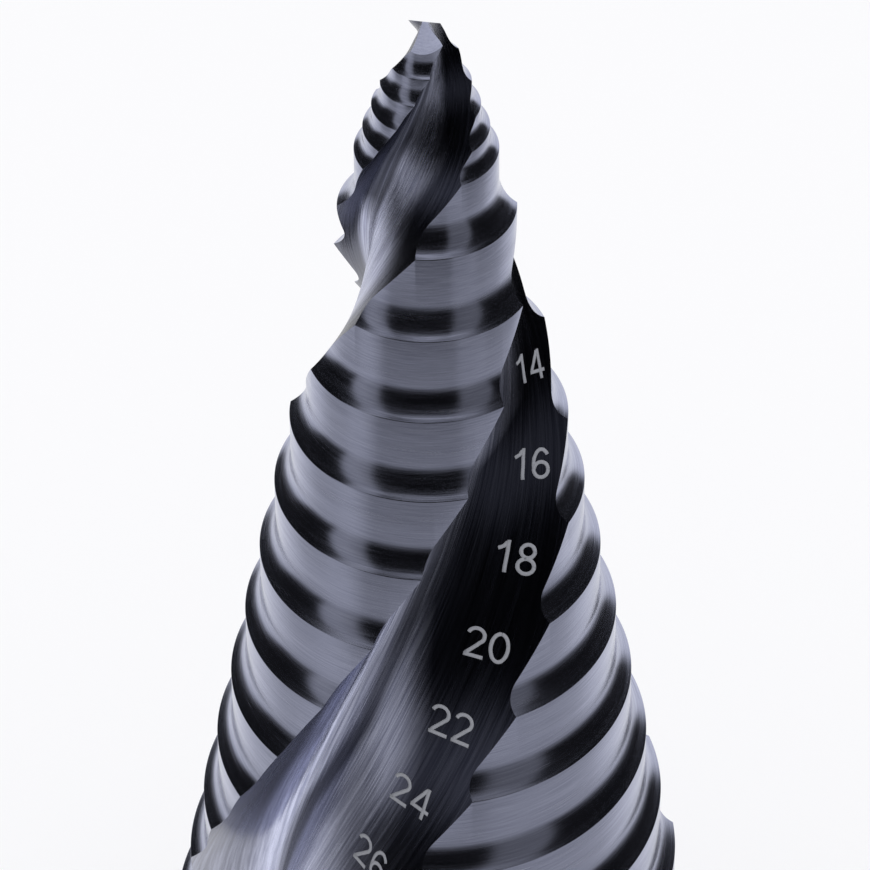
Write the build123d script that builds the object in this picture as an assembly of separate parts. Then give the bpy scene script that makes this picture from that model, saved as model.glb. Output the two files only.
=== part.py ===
from build123d import *
import math
import os

# Step drill, one solid piece of ground tool steel, standing on the end of its shank.
# The axis is Z, the point is up, and the origin is the centre of the shank's end face.
# Lengths are in millimetres, and angles are in degrees and anticlockwise seen from the point.

# Steps: the small ones follow the pilot, and the large ones follow the last small one
pilot_diameter = 3.0
small_steps = 5
small_pitch = 1.0
large_steps = 12
large_pitch = 2.0
small_step_height = 1.5
last_small_step_height = 4.0
large_step_height = 5.0

# Point, whose angle the shoulders share
point_angle = 118.0
point_relief = 22.0

# Shank and back
shank_diameter = 10.0
shank_length = 25.0
shank_end_chamfer = 0.5
shank_root_radius = 1.0
back_edge_chamfer = 0.5

# Flutes: where they start, how they wind and how wide they open
flute_count = 2
lip_turn = 123.8
lip_lag = 10.8
helix_angle = 29.2
wide_mouth = 117.0
narrow_mouth = 56.0
mouth_fade = 4.0
flute_overrun = 0.5
section_turn = 15.0

# Section of a flute: shares are of the radius over the rims, and of the floor from root to heel
rake_angle = 8.0
hook_share = 0.3
root_share = 0.62
floor_start = 0.16
floor_middle = 0.6
outer_share = 0.3

# The web is ground thinner at the point, down to this share of itself over this length
thin_share = 0.2
thin_length = 1.4


def step_sizes():
    """Radius and height of each step, from the pilot down to the largest."""
    sizes = [(pilot_diameter / 2, small_step_height)]
    for count in range(1, small_steps):
        sizes.append((pilot_diameter / 2 + count * small_pitch / 2, small_step_height))
    last_small_radius = pilot_diameter / 2 + small_steps * small_pitch / 2
    sizes.append((last_small_radius, last_small_step_height))
    for count in range(1, large_steps + 1):
        sizes.append((last_small_radius + count * large_pitch / 2, large_step_height))
    return sizes


def step_rims():
    """Radius of each step and the height of its rim, from the largest up to the pilot."""
    rims = []
    z = shank_length
    for radius, height in reversed(step_sizes()):
        z += height
        rims.append((radius, z))
    return rims


half_point = math.radians(point_angle / 2)
rims = step_rims()
largest_radius = rims[0][0]
pilot_radius, pilot_rim = rims[-1]
tip_height = pilot_rim + pilot_radius / math.tan(half_point)


def at(radius, z):
    """A point of the turned profile, in the XZ plane."""
    return Vector(radius, 0, z)


def shoulder(lower_rim, upper_radius):
    """Hollow shoulder: straight down off the upper cylinder, and at half the point angle at the rim."""
    radius, z = lower_rim
    hollow = (radius - upper_radius) / (1 - math.cos(half_point))
    foot = z + hollow * math.sin(half_point)
    middle_radius = upper_radius + hollow * (1 - math.cos(half_point / 2))
    middle_height = foot - hollow * math.sin(half_point / 2)
    return ThreePointArc(at(radius, z), at(middle_radius, middle_height), at(upper_radius, foot))


def shank_edges():
    """Shank with a chamfered end and a rounded root, and the flat back of the largest step."""
    radius = shank_diameter / 2
    root = shank_length - shank_root_radius
    end_face = at(radius - shank_end_chamfer, 0)
    turned = Polyline(at(0, 0), end_face, at(radius, shank_end_chamfer), at(radius, root))
    fillet_middle = at(
        radius + shank_root_radius * (1 - math.cos(math.pi / 4)),
        root + shank_root_radius * math.sin(math.pi / 4),
    )
    fillet_end = at(radius + shank_root_radius, shank_length)
    back_edge = at(largest_radius - back_edge_chamfer, shank_length)
    back = Polyline(fillet_end, back_edge, at(largest_radius, shank_length + back_edge_chamfer))
    return [*turned.edges(), ThreePointArc(turned @ 1, fillet_middle, fillet_end), *back.edges()]


def blank():
    """The turned blank: shank, steps and a pilot that is still square at its end."""
    edges = shank_edges()
    end = edges[-1] @ 1
    for lower, upper in zip(rims, rims[1:]):
        edges.append(Line(end, at(*lower)))
        edges.append(shoulder(lower, upper[0]))
        end = edges[-1] @ 1
    edges += Polyline(end, at(pilot_radius, tip_height), at(0, tip_height), at(0, 0)).edges()
    return revolve(make_face(edges), axis=Axis.Z)


def radius_over_rims(z):
    """Radius at height z of the slender cone through the rims of all steps."""
    if z >= pilot_rim:
        return pilot_radius
    for (low_radius, low), (high_radius, high) in zip(rims, rims[1:]):
        if z <= high:
            break
    return low_radius + (high_radius - low_radius) * (z - low) / (high - low)


def flute_section(z, turn):
    """Cross-section of one flute: flat cutting face, tight root and a straight floor out to the heel."""
    radius = radius_over_rims(z)
    mouth = narrow_mouth + (wide_mouth - narrow_mouth) * math.exp((pilot_radius - radius) / mouth_fade)
    thinned = min(1, thin_share + (1 - thin_share) * max(0, tip_height - z) / thin_length)

    def on_arc(share, angle):
        """A point at a share of the radius, at an angle from the cutting edge."""
        return Vector(share * radius, 0, z).rotate(Axis.Z, turn + angle)

    def on_cutting_face(share):
        """A point of the cutting face, a share of the radius inwards from the edge."""
        depth = share * math.cos(math.radians(rake_angle))
        undercut = share * math.sin(math.radians(rake_angle))
        return Vector((1 - depth) * radius, -undercut * radius, z).rotate(Axis.Z, turn)

    root = on_arc(root_share * thinned, 0)
    heel = on_arc(1, mouth)
    floor = heel - root
    wall = Spline(
        on_cutting_face(-outer_share),
        on_cutting_face(0),
        on_cutting_face(hook_share),
        root,
        root + floor * floor_start,
        root + floor * floor_middle,
        heel,
        heel + floor * outer_share,
    )
    outside = on_arc(1 + 2 * outer_share, mouth / 2)
    return Face(Wire([wall, ThreePointArc(wall @ 1, outside, wall @ 0)]))


def flute_cutter():
    """One flute as a solid, lofted from over the point down past the back at a constant helix angle."""
    wind = math.tan(math.radians(helix_angle))
    z = tip_height + flute_overrun
    turn = lip_turn + math.degrees((z - pilot_rim) * wind / pilot_radius)
    sections = [flute_section(z, turn)]
    drop_per_radius = math.radians(section_turn) / wind
    while z > shank_length - flute_overrun:
        half_drop = drop_per_radius * radius_over_rims(z) / 2
        z -= drop_per_radius * radius_over_rims(z - half_drop)
        turn -= section_turn
        sections.append(flute_section(z, turn))
    return loft(sections)


def flank(turn):
    """Plane of one of the two flanks of the point, which falls outwards along its lip and behind it."""
    fall_out = 1 / math.tan(half_point)
    fall_back = math.tan(math.radians(point_relief))
    normal = Vector(fall_out, -fall_back, 1).rotate(Axis.Z, turn)
    return Plane(origin=(0, 0, tip_height), z_dir=normal)


def step_drill():
    """The whole drill: the blank with its flutes ground in and its point ground flat on both sides."""
    drill = blank()
    cutter = flute_cutter()
    for count in range(flute_count):
        drill -= cutter.rotate(Axis.Z, count * 360 / flute_count)
    for count in range(flute_count):
        lip = lip_turn - lip_lag + count * 360 / flute_count
        drill = split(drill, bisect_by=flank(lip), keep=Keep.BOTTOM)
    return drill


os.makedirs("parts", exist_ok=True)
export_step(step_drill(), "parts/step_drill.step")
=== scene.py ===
import math
import bmesh
import bpy
import numpy
from mathutils import Matrix, Vector


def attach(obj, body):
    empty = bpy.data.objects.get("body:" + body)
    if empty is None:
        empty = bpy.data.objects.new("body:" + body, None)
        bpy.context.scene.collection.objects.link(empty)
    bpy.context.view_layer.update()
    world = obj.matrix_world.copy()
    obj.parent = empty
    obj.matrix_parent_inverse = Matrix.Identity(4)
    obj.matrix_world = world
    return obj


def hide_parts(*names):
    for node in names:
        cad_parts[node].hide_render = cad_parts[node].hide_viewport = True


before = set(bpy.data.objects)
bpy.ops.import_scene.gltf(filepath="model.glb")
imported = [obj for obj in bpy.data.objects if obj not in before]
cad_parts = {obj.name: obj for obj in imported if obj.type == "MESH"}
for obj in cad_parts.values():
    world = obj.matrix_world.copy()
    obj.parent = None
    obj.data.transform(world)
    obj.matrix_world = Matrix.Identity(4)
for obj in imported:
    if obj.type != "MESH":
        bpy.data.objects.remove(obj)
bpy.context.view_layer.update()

millimetre = 0.001
print("frame loaded:", sorted(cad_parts))


def toLinear(code):  # an sRGB hex value as linear red, green, blue and alpha
    parts = [int(code[i:i + 2], 16) / 255 for i in (1, 3, 5)]
    return [p / 12.92 if p <= 0.04045 else ((p + 0.055) / 1.055) ** 2.4 for p in parts] + [1]


def addNode(tree, kind, settings=None, links=None):  # inputs go by name or number
    node = tree.nodes.new(kind)
    for name, value in (settings or {}).items():
        if name == "stops":  # the places and colours of a colour ramp
            elements = node.color_ramp.elements
            elements.remove(elements[1])
            for index, (place, colour) in enumerate(value):
                element = elements.new(place) if index else elements[0]
                element.position = place
                element.color = colour
        elif isinstance(name, int) or name in node.inputs:
            node.inputs[name].default_value = value
        else:
            setattr(node, name, value)
    for name, source in (links or {}).items():  # a linked node stands for its first output
        output = source.outputs[0] if isinstance(source, bpy.types.Node) else source
        tree.links.new(output, node.inputs[name])
    return node


# Grey levels along a measure, at places from low to high that are counted in the unit
def levelsAlong(tree, measure, low, high, levels, unit=1.0):
    inside = addNode(tree, "ShaderNodeMapRange",
                     {"From Min": low * unit, "From Max": high * unit}, {"Value": measure})
    stops = [((place - low) / (high - low), (level, level, level, 1)) for place, level in levels]
    return addNode(tree, "ShaderNodeValToRGB", {"stops": stops}, {"Fac": inside})


def emptyMaterial(name):
    material = bpy.data.materials.new(name)
    material.use_nodes = True
    material.node_tree.nodes.clear()
    return material


def deselectAll():
    if bpy.context.mode != "OBJECT":
        bpy.ops.object.mode_set(mode="OBJECT")
    bpy.ops.object.select_all(action="DESELECT")


def pick(thing):  # the only selected and active object
    deselectAll()
    thing.select_set(True)
    bpy.context.view_layer.objects.active = thing


def applyModifiers(thing):
    pick(thing)
    for modifier in list(thing.modifiers):
        bpy.ops.object.modifier_apply(modifier=modifier.name)


# The drill, in millimetres and degrees; heights are over the end of the shank
drillSettings = {
    "pilotDiameter": 3.0,
    "smallSteps": 5,
    "smallPitch": 1.0,
    "largeSteps": 12,
    "largePitch": 2.0,
    "smallStepHeight": 1.5,
    "lastSmallStepHeight": 4.0,
    "largeStepHeight": 5.0,
    "pointAngle": 118.0,
    "pointRelief": 22.0,
    "shankDiameter": 10.0,
    "shankLength": 25.0,
    "shankEndChamfer": 0.5,
    "shankRootRadius": 1.0,
    "backEdgeChamfer": 0.5,
    "rimRadius": 0.05,  # the honed rims are not quite sharp, and shine as a thin line
    "rimShare": 0.9,  # how much of the corner's turn the honing has rounded
    "rimPoints": 3,
    "arcPoints": 9,
    "turnSteps": 288,
    "mergeGap": 0.0005,  # points nearer than this are merged
    "smoothAngle": 28,  # edges that turn less than this are shaded smooth
    # The flutes: shares are of the radius over the rims, and turns are from the cutting edge
    "flute": {
        "count": 2,
        "lipTurn": 123.8,  # where the first cutting edge meets the pilot's rim
        "lipLag": 10.8,  # how far the ground lip of the point lies behind it
        "helixAngle": 29.2,
        "wideMouth": 117.0,  # at the pilot
        "narrowMouth": 56.0,  # at the large steps
        "mouthFade": 4.0,
        "overrun": 0.5,
        "rowTurn": 3.0,  # the flute is built in rows this far apart
        "rakeAngle": 8.0,
        "hookShare": 0.3,
        "rootShare": 0.62,
        "floorStart": 0.16,  # this and the next are shares of the way from root to heel
        "floorMiddle": 0.6,
        "outerShare": 0.3,
        "thinLength": 1.4,  # the web is ground thinner over this length at the point
        "thinShare": 0.2,
        "wallPoints": 72,
        "outsidePoints": 6,
    },
    # Which faces are the flutes' own: those that aren't flat on top, and are either turned out of
    # the round by more than wallSlant or nearer the axis than landShare of the radius
    "topNormal": 0.75,
    "wallSlant": 0.06,
    "landShare": 0.72,
    "axisGap": 1e-6,  # a face this near the axis has no way round it, and isn't a flute's
    # How both finishes use the noise that draws their lines
    "grain": {
        "detail": 4.0,
        "roughness": 0.6,
        "broadShare": 0.13,  # a second noise, this much as fine, makes the gloss uneven
        "broadDetail": 2.0,
        "colourPlaces": (0.36, 0.64),  # where the noise shows the first colour and the second
        "glossFrom": 0.6,  # both noises together, where the steel is smoothest and where roughest
        "glossTo": 1.4,
        "lineDepth": 0.05,  # what a relief of one stands for
    },
    "turnedFinish": {
        "colours": ("#9ea2ba", "#b2b6ce"),
        "lineGap": 1 / 9,  # real grinding lines are a few hundredths apart and wouldn't show
        "lineTurn": 0.3,  # what a radian round the drill counts for: little, so the lines run long
        "smoothest": 0.13,
        "roughest": 0.3,
        "pull": 0.6,  # how far the lines draw a reflection out, and which way
        "pullTurn": 0.25,
        "relief": 0.06,
    },
    "fluteFinish": {
        "colours": ("#9ca0bc", "#e0e4ff"),
        # the grey that the painted shade multiplies into the base colour
        "paintedShadeColour": "#66676c",
        "lineGap": 0.268,  # at the largest step, and coarser than the real lines, to show
        "lineStretch": 400,  # heights are divided by this, which makes a line some 7 long
        "smoothest": 0.17,
        "roughest": 0.32,
        "pull": 0.8,
        "pullTurn": 0.08,
        "relief": 0.25,
        # Where painted shade darkens it, standing in for dark reflections: levels by height, and shares of
        # the mouth from the cutting edge
        "heights": (0, 100),
        "floorBorder": (  # past this share the floor gets painted shade
            (34, 0.8), (47, 0.7), (53, 0.57), (58, 0.34), (61, 0.22), (69, 0.25),
            (72, 0.65), (80, 0.85), (83, 0.88), (87, 0.66), (90, 0.76), (93, 0.58)),
        "borderWidth": 0.2,
        "strip": ((-0.1, 0), (-0.03, 0.82), (0.03, 0.82), (0.1, 0)),  # a band of painted shade along the root
        "stripRange": 0.2,
        "stripMiddle": ((36, 0.08), (42, 0.1), (47, 0.18), (51, 0.23), (54, 0.2), (84, 0.12)),
        "stripReach": ((36, 1), (58, 1), (66, 0.2), (83, 0.2), (86, 1)),
        "edgeShade": 0.97,  # painted shade on the cutting face, near the rims and all over by the point
        "edgeAcross": (0.12, 0.04),
        "edgeDepth": (0.66, 0.76),
        "edgeTop": (83, 86),
        "edgeReach": ((34, 0.7), (42, 1)),
    },
}
fluteSizes = drillSettings["flute"]


def stepRims():  # radius and height of each rim, from the largest step up to the pilot
    s = drillSettings
    steps = [(s["pilotDiameter"] / 2, s["smallStepHeight"])]
    for count in range(1, s["smallSteps"]):
        steps.append((steps[0][0] + count * s["smallPitch"] / 2, s["smallStepHeight"]))
    lastSmall = steps[0][0] + s["smallSteps"] * s["smallPitch"] / 2
    steps.append((lastSmall, s["lastSmallStepHeight"]))
    for count in range(1, s["largeSteps"] + 1):
        steps.append((lastSmall + count * s["largePitch"] / 2, s["largeStepHeight"]))
    rims = []
    z = s["shankLength"]
    for radius, height in reversed(steps):
        z += height
        rims.append((radius, z))
    return rims


rims = stepRims()
largestRadius, largestRim = rims[0]
pilotRadius, pilotRim = rims[-1]
halfPoint = math.radians(drillSettings["pointAngle"] / 2)
tipHeight = pilotRim + pilotRadius / math.tan(halfPoint)


def radiusOverRims(z):  # the slender cone through all rims
    nextRadius, nextRim = rims[1]
    below = largestRadius + (largestRadius - nextRadius) * (largestRim - z) / (nextRim - largestRim)
    inside = numpy.interp(z, [rim[1] for rim in rims], [rim[0] for rim in rims])
    return numpy.where(numpy.asarray(z) < largestRim, below, inside)


def fluteRows():  # height and turn of each row of a flute, from over the point down past the back
    f = fluteSizes
    wind = math.tan(math.radians(f["helixAngle"]))
    z = tipHeight + f["overrun"]
    turn = f["lipTurn"] + math.degrees((z - pilotRim) * wind / pilotRadius)
    rows = [(z, turn)]
    dropPerRadius = math.radians(f["rowTurn"]) / wind
    while z > drillSettings["shankLength"] - f["overrun"]:
        halfDrop = dropPerRadius * float(radiusOverRims(z)) / 2
        z -= dropPerRadius * float(radiusOverRims(z - halfDrop))
        turn -= f["rowTurn"]
        rows.append((z, turn))
    return rows


rows = fluteRows()


def turnAt(z):  # where the cutting edge is
    return numpy.interp(z, [row[0] for row in reversed(rows)], [row[1] for row in reversed(rows)])


def mouthAt(z):  # how far round a flute opens
    f = fluteSizes
    fade = numpy.exp((pilotRadius - radiusOverRims(z)) / f["mouthFade"])
    return f["narrowMouth"] + (f["wideMouth"] - f["narrowMouth"]) * fade


def smoothThrough(points, count):  # a natural cubic spline through points in the plane, evenly stepped
    knots = numpy.array(points, float)
    runs = numpy.linalg.norm(numpy.diff(knots, axis=0), axis=1)
    size = len(knots)
    system = numpy.eye(size)
    right = numpy.zeros((size, 2))
    for i in range(1, size - 1):
        system[i, i - 1:i + 2] = runs[i - 1], 2 * (runs[i - 1] + runs[i]), runs[i]
        right[i] = 6 * ((knots[i + 1] - knots[i]) / runs[i] - (knots[i] - knots[i - 1]) / runs[i - 1])
    bends = numpy.linalg.solve(system, right)
    along = numpy.concatenate([[0], numpy.cumsum(runs)])
    steps = numpy.linspace(0, along[-1], count)
    spans = numpy.clip(numpy.searchsorted(along, steps, side="right") - 1, 0, size - 2)
    run = runs[spans][:, None]
    after = (steps - along[spans])[:, None]
    before = run - after
    return (
        bends[spans] * before ** 3 / (6 * run) + bends[spans + 1] * after ** 3 / (6 * run)
        + (knots[spans] / run - bends[spans] * run / 6) * before
        + (knots[spans + 1] / run - bends[spans + 1] * run / 6) * after
    )


def fluteWall(z):  # a flute's wall across at height z, from outside the cutting edge to outside the heel
    f = fluteSizes
    rake = math.radians(f["rakeAngle"])
    mouth = math.radians(float(mouthAt(z)))
    turn = math.radians(float(turnAt(z)))
    thin = min(1, f["thinShare"] + (1 - f["thinShare"]) * max(0, tipHeight - z) / f["thinLength"])

    def onCuttingFace(share):  # that share of the radius inwards from the edge
        return 1 - share * math.cos(rake), -share * math.sin(rake)

    root = numpy.array([f["rootShare"] * thin, 0])
    heel = numpy.array([math.cos(mouth), math.sin(mouth)])
    points = [
        onCuttingFace(-f["outerShare"]),
        onCuttingFace(0),
        onCuttingFace(f["hookShare"]),
        root,
        root + (heel - root) * f["floorStart"],
        root + (heel - root) * f["floorMiddle"],
        heel,
        heel + (heel - root) * f["outerShare"],
    ]
    wall = smoothThrough(points, f["wallPoints"]) * float(radiusOverRims(z))
    turned = numpy.array([[math.cos(turn), math.sin(turn)], [-math.sin(turn), math.cos(turn)]])
    return wall @ turned


def profilePoints():  # radius and height, from the axis at the shank's end up to the axis at the tip
    s = drillSettings
    shank = s["shankDiameter"] / 2
    root = s["shankRootRadius"]
    points = [(0, 0), (shank - s["shankEndChamfer"], 0), (shank, s["shankEndChamfer"])]
    for i in range(s["arcPoints"]):
        a = math.pi / 2 * i / (s["arcPoints"] - 1)
        points.append((shank + root * (1 - math.cos(a)), s["shankLength"] - root + root * math.sin(a)))
    points.append((largestRadius - s["backEdgeChamfer"], s["shankLength"]))
    points.append((largestRadius, s["shankLength"] + s["backEdgeChamfer"]))
    for (radius, z), (upper, _) in zip(rims, rims[1:]):
        # The honed rim, then the hollow shoulder up to the next land
        x, y = radius - s["rimRadius"], z - s["rimRadius"] * math.tan(halfPoint / 2)
        for i in range(s["rimPoints"] + 1):
            a = halfPoint * s["rimShare"] * i / s["rimPoints"]
            points.append((x + s["rimRadius"] * math.cos(a), y + s["rimRadius"] * math.sin(a)))
        hollow = (radius - upper) / (1 - math.cos(halfPoint))
        foot = z + hollow * math.sin(halfPoint)
        for i in range(1, s["arcPoints"]):
            a = halfPoint * (1 - i / (s["arcPoints"] - 1))
            points.append((upper + hollow * (1 - math.cos(a)), foot - hollow * math.sin(a)))
    points.append((pilotRadius, tipHeight))
    points.append((0, tipHeight))
    return points


def turnedBlank():
    deselectAll()
    bpy.ops.mesh.primitive_plane_add(size=1)
    blank = bpy.context.object
    blank.name = "stepDrill"
    bpy.ops.object.mode_set(mode="EDIT")
    bpy.ops.mesh.select_all(action="SELECT")
    bpy.ops.mesh.merge(type="CENTER")
    last = (0, 0)
    for radius, z in profilePoints()[1:]:
        step = (radius - last[0], 0, z - last[1])
        bpy.ops.mesh.extrude_region_move(TRANSFORM_OT_translate={"value": step})
        last = (radius, z)
    bpy.ops.mesh.select_all(action="SELECT")
    bpy.ops.mesh.spin(steps=drillSettings["turnSteps"], angle=2 * math.pi, center=(0, 0, 0), axis=(0, 0, 1))
    bpy.ops.mesh.select_all(action="SELECT")
    bpy.ops.mesh.remove_doubles(threshold=drillSettings["mergeGap"])
    bpy.ops.mesh.normals_make_consistent(inside=False)
    bpy.ops.object.mode_set(mode="OBJECT")
    return blank


def fluteOutline(z, turn):  # the cutter's section: the wall, closed by an arch outside the drill
    f = fluteSizes
    wall = fluteWall(z)
    first, last = wall[0], wall[-1]
    middle = math.radians(turn + float(mouthAt(z)) / 2)
    reach = float(radiusOverRims(z)) * (1 + 2 * f["outerShare"])
    crown = numpy.array([math.cos(middle), math.sin(middle)]) * reach
    outline = list(wall)
    for i in range(1, f["outsidePoints"] + 1):
        share = i / (f["outsidePoints"] + 1)
        bulge = 4 * share * (1 - share)
        outline.append(last + (first - last) * share + (crown - (first + last) / 2) * bulge)
    return outline


def fluteCutter(index):  # one flute as a closed tube of sections
    f = fluteSizes
    deselectAll()
    bpy.ops.mesh.primitive_circle_add(  # a start, whose corners are placed row by row
        vertices=f["wallPoints"] + f["outsidePoints"], radius=1, fill_type="NGON")
    cutter = bpy.context.object
    bpy.ops.object.mode_set(mode="EDIT")
    bpy.ops.mesh.select_all(action="SELECT")
    for number, (z, turn) in enumerate(rows):
        if number:
            bpy.ops.mesh.extrude_region_move(TRANSFORM_OT_translate={"value": (0, 0, -1)})
        mesh = bmesh.from_edit_mesh(cutter.data)
        face = [each for each in mesh.faces if each.select][0]
        for corner, (x, y) in zip(face.verts, fluteOutline(z, turn)):
            corner.co = (x, y, z)
        bmesh.update_edit_mesh(cutter.data)
    bpy.ops.mesh.select_all(action="SELECT")
    bpy.ops.mesh.normals_make_consistent(inside=False)
    bpy.ops.object.mode_set(mode="OBJECT")
    cutter.rotation_euler = (0, 0, 2 * math.pi * index / f["count"])
    pick(cutter)
    bpy.ops.object.transform_apply(location=False, rotation=True, scale=False)
    return cutter


def grindPoint(drill):  # two flat flanks, each falling outwards along its lip and behind it
    f = fluteSizes
    fallOut = 1 / math.tan(halfPoint)
    fallBack = math.tan(math.radians(drillSettings["pointRelief"]))
    pick(drill)
    bpy.ops.object.mode_set(mode="EDIT")
    for index in range(f["count"]):
        lip = math.radians(f["lipTurn"] - f["lipLag"]) + 2 * math.pi * index / f["count"]
        normal = Matrix.Rotation(lip, 3, "Z") @ Vector((fallOut, -fallBack, 1))
        bpy.ops.mesh.select_all(action="SELECT")
        bpy.ops.mesh.bisect(plane_co=(0, 0, tipHeight), plane_no=normal, use_fill=True, clear_outer=True)
    bpy.ops.object.mode_set(mode="OBJECT")


def stepDrill():
    drill = turnedBlank()
    print("blank turned:", len(drill.data.polygons), "faces")
    for index in range(fluteSizes["count"]):
        cutter = fluteCutter(index)
        print("cutter made:", len(cutter.data.polygons), "faces")
        cut = drill.modifiers.new("flute", "BOOLEAN")
        cut.operation = "DIFFERENCE"
        cut.solver = "MANIFOLD"
        cut.object = cutter
        applyModifiers(drill)
        bpy.data.objects.remove(cutter)
    print("flutes cut:", len(drill.data.polygons), "faces")
    grindPoint(drill)
    drill.scale = (millimetre,) * 3
    pick(drill)
    bpy.ops.object.transform_apply(location=False, rotation=False, scale=True)
    return drill


def turnedLines(tree):  # rings about the axis: fine along height and radius, long round the drill
    lineTurn = drillSettings["turnedFinish"]["lineTurn"] * millimetre
    place = addNode(tree, "ShaderNodeTexCoord").outputs["Object"]
    parts = addNode(tree, "ShaderNodeSeparateXYZ", links={"Vector": place})
    flat = addNode(tree, "ShaderNodeVectorMath", {"operation": "MULTIPLY", 1: (1, 1, 0)}, {0: place})
    radius = addNode(tree, "ShaderNodeVectorMath", {"operation": "LENGTH"}, {0: flat})
    angle = addNode(tree, "ShaderNodeMath", {"operation": "ARCTAN2"},
                    {0: parts.outputs["Y"], 1: parts.outputs["X"]})
    short = addNode(tree, "ShaderNodeMath", {"operation": "MULTIPLY", 1: lineTurn}, {0: angle})
    return addNode(tree, "ShaderNodeCombineXYZ", links={
        "X": radius.outputs["Value"], "Y": short, "Z": parts.outputs["Z"]})


def fluteLines(tree):  # lines along the flute, from the mesh's own attribute
    return addNode(tree, "ShaderNodeAttribute", {"attribute_name": "fluteLines"}).outputs["Vector"]


def fluteShade(tree):  # how much painted shade the floor, a strip by the root and the cutting face get
    f = drillSettings["fluteFinish"]
    unit = 1 / f["lineStretch"]
    parts = addNode(tree, "ShaderNodeSeparateXYZ", links={"Vector": fluteLines(tree)})
    across, depth, height = (parts.outputs[axis] for axis in "XYZ")
    floorBorder, stripMiddle, stripReach, edgeReach = (
        levelsAlong(tree, height, *f["heights"], f[levels], unit)
        for levels in ("floorBorder", "stripMiddle", "stripReach", "edgeReach"))
    # Painted shade on the floor from its border to the heel
    past = addNode(tree, "ShaderNodeMath", {"operation": "SUBTRACT"}, {0: across, 1: floorBorder})
    floor = addNode(tree, "ShaderNodeMapRange", {
        "From Min": -f["borderWidth"] / 2, "From Max": f["borderWidth"] / 2}, {"Value": past})
    # A strip of painted shade by the root
    offMiddle = addNode(tree, "ShaderNodeMath", {"operation": "SUBTRACT"}, {0: across, 1: stripMiddle})
    stripShade = levelsAlong(tree, offMiddle, -f["stripRange"], f["stripRange"], f["strip"])
    strip = addNode(tree, "ShaderNodeMath", {"operation": "MULTIPLY"}, {0: stripShade, 1: stripReach})
    # Painted shade on the cutting face, in its outer part and near the point
    edge = addNode(tree, "ShaderNodeMapRange", {
        "From Min": f["edgeAcross"][0], "From Max": f["edgeAcross"][1], "To Max": f["edgeShade"]},
        {"Value": across})
    outer = addNode(tree, "ShaderNodeMapRange", {
        "From Min": f["edgeDepth"][0], "From Max": f["edgeDepth"][1]}, {"Value": depth})
    top = addNode(tree, "ShaderNodeMapRange", {
        "From Min": f["edgeTop"][0] * unit, "From Max": f["edgeTop"][1] * unit}, {"Value": height})
    where = addNode(tree, "ShaderNodeMath", {"operation": "MAXIMUM"}, {0: outer, 1: top})
    low = addNode(tree, "ShaderNodeMath", {"operation": "MULTIPLY"}, {0: edge, 1: edgeReach})
    face = addNode(tree, "ShaderNodeMath", {"operation": "MULTIPLY"}, {0: low, 1: where})
    inner = addNode(tree, "ShaderNodeMath", {"operation": "MAXIMUM"}, {0: floor, 1: strip})
    return addNode(tree, "ShaderNodeMath", {"operation": "MAXIMUM"}, {0: inner, 1: face})


def groundSteel(name, lines, lineScale, finish, shade=None):
    grain = drillSettings["grain"]
    material = emptyMaterial(name)
    tree = material.node_tree
    vector = lines(tree)
    fine = addNode(tree, "ShaderNodeTexNoise", {
        "Scale": lineScale, "Detail": grain["detail"], "Roughness": grain["roughness"]}, {"Vector": vector})
    broad = addNode(tree, "ShaderNodeTexNoise", {
        "Scale": lineScale * grain["broadShare"], "Detail": grain["broadDetail"]}, {"Vector": vector})
    both = addNode(tree, "ShaderNodeMath", {"operation": "ADD"}, {0: fine, 1: broad})
    colours = [toLinear(code) for code in finish["colours"]]
    seen = addNode(tree, "ShaderNodeValToRGB",
                   {"stops": list(zip(grain["colourPlaces"], colours))}, {"Fac": fine})
    # Painted shade: the colour is multiplied towards a dark grey where the mask asks
    if shade:
        dark = addNode(tree, "ShaderNodeMix", {
            "data_type": "RGBA", "blend_type": "MULTIPLY", 7: toLinear(finish["paintedShadeColour"])},
            {0: shade(tree), 6: seen})
        seen = dark.outputs[2]
    rough = addNode(tree, "ShaderNodeMapRange", {
        "From Min": grain["glossFrom"],
        "From Max": grain["glossTo"],
        "To Min": finish["smoothest"],
        "To Max": finish["roughest"],
    }, {"Value": both})
    bump = addNode(tree, "ShaderNodeBump", {
        "Strength": finish["relief"], "Distance": grain["lineDepth"] * millimetre}, {"Height": fine})
    tangent = addNode(tree, "ShaderNodeTangent", {"direction_type": "RADIAL", "axis": "Z"})
    shader = addNode(tree, "ShaderNodeBsdfPrincipled", {
        "Metallic": 1.0,
        "Anisotropic": finish["pull"],
        "Anisotropic Rotation": finish["pullTurn"],
    }, {"Base Color": seen, "Roughness": rough, "Normal": bump, "Tangent": tangent})
    addNode(tree, "ShaderNodeOutputMaterial", links={"Surface": shader})
    return material


# High-speed steel, turned and then ground all round by a formed wheel. Its fine rings make it satin:
# what it reflects is drawn out into soft bands, with a slight violet cast.
def groundTurnedSteel():
    finish = drillSettings["turnedFinish"]
    return groundSteel("groundTurnedSteel", turnedLines, 1 / (finish["lineGap"] * millimetre), finish)


# High-speed steel, ground by the edge of a wheel that runs down the flute. Its coarser lines catch
# the light in streaks along the flute; the root, the floor's edge and the cutting face carry painted shade.
def groundFluteSteel():
    finish = drillSettings["fluteFinish"]
    mouthWidth = math.radians(float(mouthAt(largestRim))) * largestRadius
    lineCount = round(mouthWidth / finish["lineGap"])
    return groundSteel("groundFluteSteel", fluteLines, lineCount, finish, fluteShade)


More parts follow.
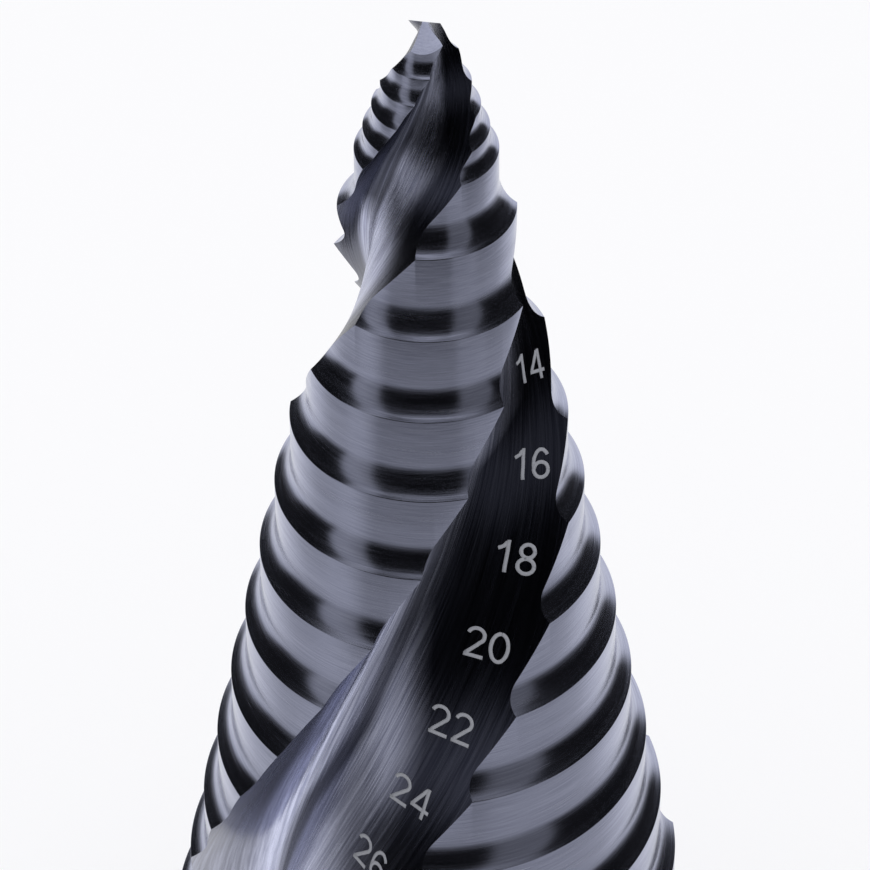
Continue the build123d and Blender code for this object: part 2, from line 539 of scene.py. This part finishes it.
def layFluteLines(mesh):  # share across the mouth, share of the radius and stretched height
    places = numpy.empty(len(mesh.vertices) * 3)
    mesh.vertices.foreach_get("co", places)
    x, y, heights = (places.reshape(-1, 3) / millimetre).T
    period = 360 / fluteSizes["count"]
    angles = numpy.degrees(numpy.arctan2(y, x)) - turnAt(heights)
    fromEdge = (angles + period / 4) % period - period / 4
    lines = numpy.stack([
        fromEdge / mouthAt(heights),
        numpy.hypot(x, y) / radiusOverRims(heights),
        heights / drillSettings["fluteFinish"]["lineStretch"],
    ], axis=1)
    mesh.attributes.new("fluteLines", "FLOAT_VECTOR", "POINT").data.foreach_set("vector", lines.ravel())


def inFlute(face):  # whether the flute's wheel has made this face
    s = drillSettings
    middle = face.center / millimetre
    around = Vector((-middle.y, middle.x, 0))
    if around.length < s["axisGap"] or middle.z < s["shankLength"] or face.normal.z > s["topNormal"]:
        return False
    slant = abs(face.normal.dot(around.normalized()))
    share = math.hypot(middle.x, middle.y) / float(radiusOverRims(middle.z))
    return slant > s["wallSlant"] or share < s["landShare"]


def dressDrill(drill):
    mesh = drill.data
    mesh.materials.clear()
    mesh.materials.append(groundTurnedSteel())
    mesh.materials.append(groundFluteSteel())
    layFluteLines(mesh)
    mesh.polygons.foreach_set("material_index", [int(inFlute(face)) for face in mesh.polygons])
    pick(drill)
    bpy.ops.object.shade_smooth_by_angle(angle=math.radians(drillSettings["smoothAngle"]))


drill = stepDrill()
dressDrill(drill)
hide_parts("step_drill")
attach(drill, "root")
print("drill dressed:", len(drill.data.polygons), "faces")


# The size marks etched in one flute, at each large step, in millimetres and degrees; stroke, advance
# and width are shares of the height
markSettings = {
    "first": 14,
    "last": 32,
    "pitch": 2,
    "height": 2.0,
    "stroke": 0.115,
    "advance": 0.66,
    "width": 1.18,
    "stretch": ((14, 24), (0.87, 1.22)),  # the wider steps have wider marks, the narrow ones smaller
    "lean": ((14, 18, 22), (-14, -12, 0)),  # the marks on the narrow steps lean outwards
    "underRim": 1.6,
    "share": 0.78,  # of the radius, where a mark has its middle
    "slopeShare": 0.03,  # the floor's slope is taken this far to both sides of it
    "slopeHeight": 0.3,
    "start": 0.3,  # how far over the floor a mark is before it is laid down
    "lift": 0.012,
    "thickness": 0.015,
    "arcStep": 12,
    "runSteps": 6,
    "colours": ("#84868e", "#a0a2aa"),
    "spotGap": 1 / 9,  # a laser's spots are finer than this and wouldn't show
    "spotDetail": 2.0,
    "roughness": 0.7,
    # The strokes of each digit in a box one high: points, or arcs by centre, half sizes and first
    # and last angle
    "digits": {
        "0": [[(0.27, 0.5, 0.2, 0.43, 90, 450)]],
        "1": [[(0.1, 0.72), (0.23, 0.8), (0.31, 0.93)], [(0.34, 1.0), (0.34, 0.0)]],
        "2": [[(0.27, 0.7, 0.19, 0.235, 165, -35), (0.09, 0.1)], [(0.04, 0.06), (0.49, 0.06)]],
        "3": [[(0.26, 0.72, 0.17, 0.215, 160, -90)], [(0.26, 0.28, 0.2, 0.225, 90, -160)]],
        "4": [[(0.35, 0.95), (0.07, 0.32)], [(0.02, 0.28), (0.52, 0.28)], [(0.38, 1.0), (0.38, 0.0)]],
        "6": [[(0.28, 0.5, 0.21, 0.435, 38, 205)], [(0.275, 0.3, 0.195, 0.24, 0, 360)]],
        "8": [[(0.27, 0.735, 0.165, 0.2, 0, 360)], [(0.27, 0.28, 0.2, 0.225, 0, 360)]],
    },
}


# Steel that a laser has roughened spot by spot: matt, pale grey and slightly mottled, with no
# reflection, so that it reads the same from all sides
def laserEtchedSteel():
    m = markSettings
    material = emptyMaterial("laserEtchedSteel")
    tree = material.node_tree
    place = addNode(tree, "ShaderNodeTexCoord")
    spots = addNode(tree, "ShaderNodeTexNoise", {
        "Scale": 1 / (m["spotGap"] * millimetre), "Detail": m["spotDetail"]},
        {"Vector": place.outputs["Object"]})
    colours = [toLinear(code) for code in m["colours"]]
    colour = addNode(tree, "ShaderNodeValToRGB", {"stops": list(enumerate(colours))}, {"Fac": spots})
    shader = addNode(tree, "ShaderNodeBsdfPrincipled",
                     {"Metallic": 0.0, "Roughness": m["roughness"]}, {"Base Color": colour})
    addNode(tree, "ShaderNodeOutputMaterial", links={"Surface": shader})
    return material


def wallPlace(z, share):  # the point of the flute's floor at that share of the radius, on the marked flute
    radius = float(radiusOverRims(z))
    wall = fluteWall(z)
    floor = wall[len(wall) // 2:]
    spread = numpy.hypot(floor[:, 0], floor[:, 1])
    x = numpy.interp(share * radius, spread, floor[:, 0])
    y = numpy.interp(share * radius, spread, floor[:, 1])
    return Vector((x, y, z))


def strokePoints(stroke):  # even points along a stroke's arcs and straight runs
    m = markSettings
    points = []
    for part in stroke:
        if len(part) == 2:
            steps = numpy.linspace(0, 1, m["runSteps"] + 1) if points else [1]
            x, y = points[-1] if points else part
            points += [(x + (part[0] - x) * t, y + (part[1] - y) * t) for t in steps]
            continue
        x, y, wide, high, first, last = part
        count = math.ceil(abs(last - first) / m["arcStep"])
        turns = [math.radians(first + (last - first) * i / count) for i in range(count + 1)]
        points += [(x + wide * math.cos(turn), y + high * math.sin(turn)) for turn in turns]
    return points


def markRibbons(size, stretch):  # the digits as flat ribbons about the origin, one high
    m = markSettings
    ribbons = bpy.data.curves.new("sizeMark" + str(size), "CURVE")
    ribbons.dimensions = "3D"
    ribbons.twist_mode = "Z_UP"
    ribbons.extrude = m["stroke"] / 2
    wider = max(1, stretch)
    digits = str(size)
    for index, digit in enumerate(digits):
        shift = (index - len(digits) / 2) * m["advance"] * wider
        for stroke in m["digits"][digit]:
            points = strokePoints(stroke)
            line = ribbons.splines.new("POLY")
            line.points.add(len(points) - 1)
            for point, (x, y) in zip(line.points, points):
                point.co = (x * m["width"] * wider + shift, y - 0.5, 0, 1)
                point.tilt = math.pi / 2  # lays the ribbon flat
    mark = bpy.data.objects.new(ribbons.name, ribbons)
    bpy.context.scene.collection.objects.link(mark)
    pick(mark)
    bpy.ops.object.convert(target="MESH")
    return bpy.context.object


def sizeMark(size, material):
    m = markSettings
    stretch = float(numpy.interp(size, *m["stretch"]))
    lean = math.radians(float(numpy.interp(size, *m["lean"])))
    rim = dict((round(2 * radius), z) for radius, z in rims)[size]
    z, share = rim - m["underRim"], m["share"]
    centre = wallPlace(z, share)
    across = (wallPlace(z, share + m["slopeShare"]) - wallPlace(z, share - m["slopeShare"])).normalized()
    up = (wallPlace(z + m["slopeHeight"], share) - wallPlace(z - m["slopeHeight"], share)).normalized()
    outward = across.cross(up).normalized()
    up = outward.cross(across)
    turn = Matrix((across, up, outward)).transposed().to_4x4() @ Matrix.Rotation(lean, 4, "Z")
    mark = markRibbons(size, stretch)
    mark.matrix_world = (Matrix.Scale(millimetre, 4) @ Matrix.Translation(centre + outward * m["start"])
                         @ turn @ Matrix.Scale(m["height"] * min(1, stretch), 4))
    bpy.ops.object.transform_apply(location=True, rotation=True, scale=True)
    lay = mark.modifiers.new("lay", "SHRINKWRAP")
    lay.target = drill
    lay.wrap_method = "NEAREST_SURFACEPOINT"
    lay.wrap_mode = "ABOVE_SURFACE"
    lay.offset = m["lift"] * millimetre
    thicken = mark.modifiers.new("thickness", "SOLIDIFY")
    thicken.thickness = m["thickness"] * millimetre
    thicken.offset = 0
    applyModifiers(mark)
    mark.data.materials.append(material)
    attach(mark, "root")


etchedSteel = laserEtchedSteel()
for size in range(markSettings["first"], markSettings["last"] + 1, markSettings["pitch"]):
    sizeMark(size, etchedSteel)
print("marks etched")


cameraSettings = {  # in millimetres and degrees
    "place": (0, -215.43, 253.99),
    "aim": (0.34, 0, 68.1),
    "roll": -0.4677,
    "lens": 204.5,
    "sensor": 36,
    "nearest": 10,  # nothing nearer is drawn
}


def addCamera():
    s = cameraSettings
    place = Vector(s["place"]) * millimetre
    aim = Vector(s["aim"]) * millimetre
    bpy.ops.object.camera_add(location=place)
    camera = bpy.context.object
    camera.rotation_euler = ((aim - place).to_track_quat("-Z", "Y").to_matrix()
                             @ Matrix.Rotation(math.radians(s["roll"]), 3, "Z")).to_euler()
    camera.data.lens = s["lens"]
    camera.data.sensor_width = s["sensor"]
    camera.data.clip_start = s["nearest"] * millimetre
    bpy.context.scene.camera = camera


floorSettings = {
    "size": 6000,  # millimetres
    "colour": "#f6f6f8",
    "roughness": 0.9,
}


# Matt backdrop paper, rolled smooth: pale and even, without gloss, so that only the shadow shows
def mattPaper():
    material = emptyMaterial("mattPaper")
    tree = material.node_tree
    shader = addNode(tree, "ShaderNodeBsdfPrincipled", {
        "Base Color": toLinear(floorSettings["colour"]),
        "Roughness": floorSettings["roughness"],
        "Specular IOR Level": 0.0,
    })
    addNode(tree, "ShaderNodeOutputMaterial", links={"Surface": shader})
    return material


def addFloor():
    bpy.ops.mesh.primitive_plane_add(size=floorSettings["size"] * millimetre)
    floor = bpy.context.object
    floor.name = "floor"
    floor.data.materials.append(mattPaper())
    floor.visible_glossy = False  # the steel shows the tent there


# The tent, in millimetres, with angles in degrees round from the front and up from the level
tentSettings = {
    "reach": 1200,
    "segments": 64,
    "rings": 32,
    "cloth": (  # how bright the cloth is: grey in front and white behind
        (-140, 1), (-122, 0.8), (-100, 0.57), (-62, 0.57), (-48, 0.38), (26, 0.38), (34, 0.44), (75, 0.5),
        (98, 0.58), (115, 0.85), (132, 1)),
    "panels": (  # from where to where, and how closed
        (-180, -151, 0), (-151, -75, 1), (-75, -47, 0.3), (-47, 29, 1), (29, 61, 0.6), (61, 137, 1),
        (137, 180, 0)),
    "softness": 2.5,
    "foot": -29,
    "footFade": ((-1, 0), (2, 0.75), (6, 0.98)),  # counted in softnesses from the foot, and how dark
    "head": 55,
    "headFade": ((-1, 0.98), (1, 0.6)),
    "liftFrom": -104,  # the panels on the left stand higher past here
    "liftTo": -118,
    "lift": 13,
    "lowEdge": -51,  # below this and over the roof's edge there is only white cloth
    "roofEdge": 66,
}


# Woven tent cloth, lit from behind: an even glow in soft steps. Black flocked panels stand inside it
# and give the steel its dark bands.
def tentCloth():
    s = tentSettings
    soft, degree = s["softness"], math.radians(1)
    material = emptyMaterial("tentCloth")
    tree = material.node_tree
    place = addNode(tree, "ShaderNodeTexCoord")
    way = addNode(tree, "ShaderNodeVectorMath", {"operation": "NORMALIZE"}, {0: place.outputs["Object"]})
    parts = addNode(tree, "ShaderNodeSeparateXYZ", links={"Vector": way})
    front = addNode(tree, "ShaderNodeMath", {"operation": "SUBTRACT", 0: 0}, {1: parts.outputs["Y"]})
    side = addNode(tree, "ShaderNodeMath", {"operation": "ARCTAN2"}, {0: parts.outputs["X"], 1: front})
    rise = addNode(tree, "ShaderNodeMath", {"operation": "ARCSINE"}, {0: parts.outputs["Z"]})
    # Round the tent: the cloth, and how closed the panels are
    cloth = levelsAlong(tree, side, -180, 180, s["cloth"], degree)
    panel = levelsAlong(tree, side, -180, 180, [
        (edge, closed)
        for start, end, closed in s["panels"] for edge in (start + soft, end - soft)], degree)
    # Up the tent: the panels from foot to head, and the white at the bottom and the top
    lift = addNode(tree, "ShaderNodeMapRange", {
        "From Min": s["liftFrom"] * degree, "From Max": s["liftTo"] * degree, "To Max": s["lift"] * degree},
        {"Value": side})
    lowered = addNode(tree, "ShaderNodeMath", {"operation": "SUBTRACT"}, {0: rise, 1: lift})
    dark = levelsAlong(tree, lowered, -90, 90, [
        (s[end] + soft * steps, level)
        for end in ("foot", "head") for steps, level in s[end + "Fade"]], degree)
    bright = levelsAlong(tree, rise, -90, 90, [
        (s["lowEdge"] - soft, 1), (s["lowEdge"] + soft, 0),
        (s["roofEdge"] - soft, 0), (s["roofEdge"] + soft, 1)], degree)
    covered = addNode(tree, "ShaderNodeMath", {"operation": "MULTIPLY"}, {0: panel, 1: dark})
    left = addNode(tree, "ShaderNodeMath", {"operation": "SUBTRACT", 0: 1}, {1: covered})
    seen = addNode(tree, "ShaderNodeMath", {"operation": "MULTIPLY"}, {0: cloth, 1: left})
    level = addNode(tree, "ShaderNodeMath", {"operation": "MAXIMUM"}, {0: seen, 1: bright})
    glow = addNode(tree, "ShaderNodeEmission", links={"Color": level})
    addNode(tree, "ShaderNodeOutputMaterial", links={"Surface": glow})
    material.cycles.emission_sampling = "NONE"
    return material


def addTent():  # only seen in the steel
    s = tentSettings
    bpy.ops.mesh.primitive_uv_sphere_add(
        segments=s["segments"], ring_count=s["rings"], radius=s["reach"] * millimetre)
    tent = bpy.context.object
    tent.name = "tent"
    tent.data.materials.append(tentCloth())
    tent.visible_camera = False
    tent.visible_diffuse = False
    tent.visible_transmission = False
    tent.visible_shadow = False


lightSettings = {
    "lampHeight": 900,  # millimetres
    "lampWidth": 800,
    "lampStrength": 3.0,
    "worldLevel": 0.75,
}


def addLamp():
    s = lightSettings
    bpy.ops.object.light_add(type="AREA", location=(0, 0, s["lampHeight"] * millimetre))
    lamp = bpy.context.object
    lamp.data.shape = "DISK"
    lamp.data.size = s["lampWidth"] * millimetre
    lamp.data.energy = s["lampStrength"]
    lamp.visible_glossy = False  # the tent's roof shows in its place


def addWorld():  # a plain level on the object, and white where it is seen
    world = bpy.data.worlds.new("studio")
    bpy.context.scene.world = world
    world.use_nodes = True
    tree = world.node_tree
    tree.nodes.clear()
    ray = addNode(tree, "ShaderNodeLightPath").outputs
    seen = addNode(tree, "ShaderNodeMath", {"operation": "MAXIMUM"},
                   {0: ray["Is Camera Ray"], 1: ray["Is Glossy Ray"]})
    shown = addNode(tree, "ShaderNodeMath", {"operation": "MAXIMUM"},
                    {0: seen, 1: ray["Is Transmission Ray"]})
    plain = addNode(tree, "ShaderNodeBackground", {
        "Color": (1, 1, 1, 1), "Strength": lightSettings["worldLevel"]})
    white = addNode(tree, "ShaderNodeBackground", {"Color": (1, 1, 1, 1), "Strength": 1.0})
    mix = addNode(tree, "ShaderNodeMixShader", links={"Fac": shown, 1: plain, 2: white})
    addNode(tree, "ShaderNodeOutputWorld", links={"Surface": mix})


deselectAll()
addCamera()
addFloor()
addTent()
addLamp()
addWorld()
bpy.context.scene.view_settings.view_transform = "Standard"
print("stage set")
